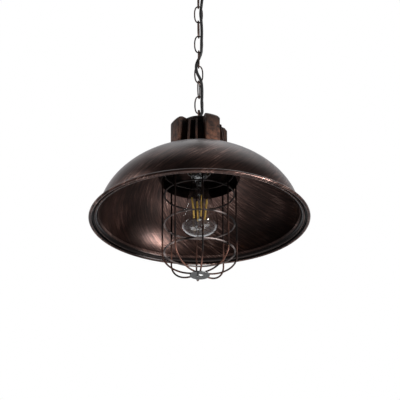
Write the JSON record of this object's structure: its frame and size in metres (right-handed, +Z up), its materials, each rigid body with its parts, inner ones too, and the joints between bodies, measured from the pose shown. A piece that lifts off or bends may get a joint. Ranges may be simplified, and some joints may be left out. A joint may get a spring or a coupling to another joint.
{
  "type": "pendant ceiling light",
  "caption": "Dome pendant light on a chain, with a finned cast cap, a rolled rim and a round wire cage over its bulb.",
  "frame": {"origin": "on the ceiling, at the middle of the mounting bar's upper face, over the light's axis", "axes": "+Z up into the ceiling, +X to the light's right and -Y to its front; the light hangs along -Z"},
  "size_m": [0.3568, 0.3568, 0.5796],
  "materials": {
    "aged_copper_bronze": "dark bronze, dry brushed with copper along its turning lines",
    "cast_bronze": "cast, dark brown with rubbed copper edges",
    "dark_bronze": "near black bronze, satin",
    "chain_bronze": "dark bronze wire, rubbed on its high spots",
    "cage_wire": "bronze wire rubbed to copper",
    "hub_zinc": "dull zinc",
    "bar_zinc": "zinc plated strip",
    "steel_fixings": "plated steel",
    "holder_steel": "grey plated steel",
    "brass": "bare brass",
    "bright_metal": "bright nickelled",
    "lamp_glass": "clear",
    "black_glass": "black glass",
    "white_ceramic": "glazed porcelain",
    "white_plastic": "moulded",
    "filament_phosphor": "yellow phosphor strip",
    "cord_black": "black round flex",
    "bush_black": "black moulded bush"
  },
  "bodies": {
    "ceiling_mount": {"mounting_bar": "bar_zinc", "rose_screw_left": "steel_fixings", "rose_screw_right": "steel_fixings", "rose_cap_nut_left": "dark_bronze", "rose_cap_nut_right": "dark_bronze", "ceiling_rose": "dark_bronze", "rose_loop": "dark_bronze", "rose_loop_nut": "steel_fixings", "rose_cord_bush": "bush_black", "terminal_block": "white_plastic", "mains_cord": "cord_black"},
    "link_1": {"chain_link_1": "chain_bronze"},
    "link_2": {"chain_link_2": "chain_bronze"},
    "link_3": {"chain_link_3": "chain_bronze"},
    "link_4": {"chain_link_4": "chain_bronze"},
    "link_5": {"chain_link_5": "chain_bronze"},
    "link_6": {"chain_link_6": "chain_bronze"},
    "link_7": {"chain_link_7": "chain_bronze"},
    "link_8": {"chain_link_8": "chain_bronze"},
    "fixture": {"hanging_eye": "dark_bronze", "hanging_stud": "steel_fixings", "hanging_nut": "steel_fixings", "finned_cap": "cast_bronze", "cap_cord_bush": "bush_black", "cap_screw_1": "steel_fixings", "cap_screw_2": "steel_fixings", "cap_screw_3": "steel_fixings", "cap_screw_4": "steel_fixings", "dome_shade": "aged_copper_bronze", "cage_gallery": "dark_bronze", "lampholder_cap": "holder_steel", "lampholder_skirt": "holder_steel", "lampholder_liner": "brass", "lampholder_insulator": "white_ceramic", "lampholder_contact": "brass"},
    "cage": {"cage_ring_top": "cage_wire", "cage_ring_upper": "cage_wire", "cage_ring_middle": "cage_wire", "cage_ring_lower": "cage_wire", "cage_wire_1": "cage_wire", "cage_wire_2": "cage_wire", "cage_wire_3": "cage_wire", "cage_wire_4": "cage_wire", "cage_wire_5": "cage_wire", "cage_wire_6": "cage_wire", "cage_wire_7": "cage_wire", "cage_wire_8": "cage_wire", "cage_hub": "hub_zinc", "cage_hub_tab": "hub_zinc"},
    "lamp": {"lamp_glass": "lamp_glass", "lamp_screw_shell": "bright_metal", "lamp_insulator": "black_glass", "lamp_contact": "bright_metal", "lamp_stem": "lamp_glass", "lamp_post": "bright_metal", "lamp_filament_1": "filament_phosphor", "lamp_filament_2": "filament_phosphor", "lamp_filament_3": "filament_phosphor", "lamp_filament_4": "filament_phosphor"}
  },
  "joints": [
    {"name": "link_1_swing", "type": "hinge", "parent": "ceiling_mount", "child": "link_1", "pos_m": [0, 0, -0.049], "axis": [1, 0, 0], "range_deg": [-10, 10], "deforming": ["mains_cord"]},
    {"name": "link_2_swing", "type": "hinge", "parent": "link_1", "child": "link_2", "pos_m": [0, 0, -0.07725], "axis": [-0.1219, 0.9925, 0], "range_deg": [-10, 10], "deforming": ["mains_cord"]},
    {"name": "link_3_swing", "type": "hinge", "parent": "link_2", "child": "link_3", "pos_m": [0, 0, -0.10635], "axis": [0.9976, 0.0698, 0], "range_deg": [-10, 10], "deforming": ["mains_cord"]},
    {"name": "link_4_swing", "type": "hinge", "parent": "link_3", "child": "link_4", "pos_m": [0, 0, -0.13545], "axis": [0.1392, 0.9903, 0], "range_deg": [-10, 10], "deforming": ["mains_cord"]},
    {"name": "link_5_swing", "type": "hinge", "parent": "link_4", "child": "link_5", "pos_m": [0, 0, -0.16455], "axis": [0.9986, -0.0523, 0], "range_deg": [-10, 10], "deforming": ["mains_cord"]},
    {"name": "link_6_swing", "type": "hinge", "parent": "link_5", "child": "link_6", "pos_m": [0, 0, -0.19365], "axis": [-0.0872, 0.9962, 0], "range_deg": [-10, 10], "deforming": ["mains_cord"]},
    {"name": "link_7_swing", "type": "hinge", "parent": "link_6", "child": "link_7", "pos_m": [0, 0, -0.22275], "axis": [0.9945, 0.1045, 0], "range_deg": [-10, 10], "deforming": ["mains_cord"]},
    {"name": "link_8_swing", "type": "hinge", "parent": "link_7", "child": "link_8", "pos_m": [0, 0, -0.25185], "axis": [0.2419, 0.9703, 0], "range_deg": [-10, 10], "deforming": ["mains_cord"]},
    {"name": "fixture_swing", "type": "hinge", "parent": "link_8", "child": "fixture", "pos_m": [0, 0, -0.28095], "axis": [0.9976, -0.0698, 0], "range_deg": [-10, 10], "deforming": ["mains_cord"]},
    {"name": "cage_pull", "type": "slide", "parent": "fixture", "child": "cage", "axis": [0, 0, -1], "range_m": [0, 0.05]},
    {"name": "lamp_unscrew", "type": "slide", "parent": "fixture", "child": "lamp", "axis": [0, 0, -1], "range_m": [0, 0.025]}
  ]
}
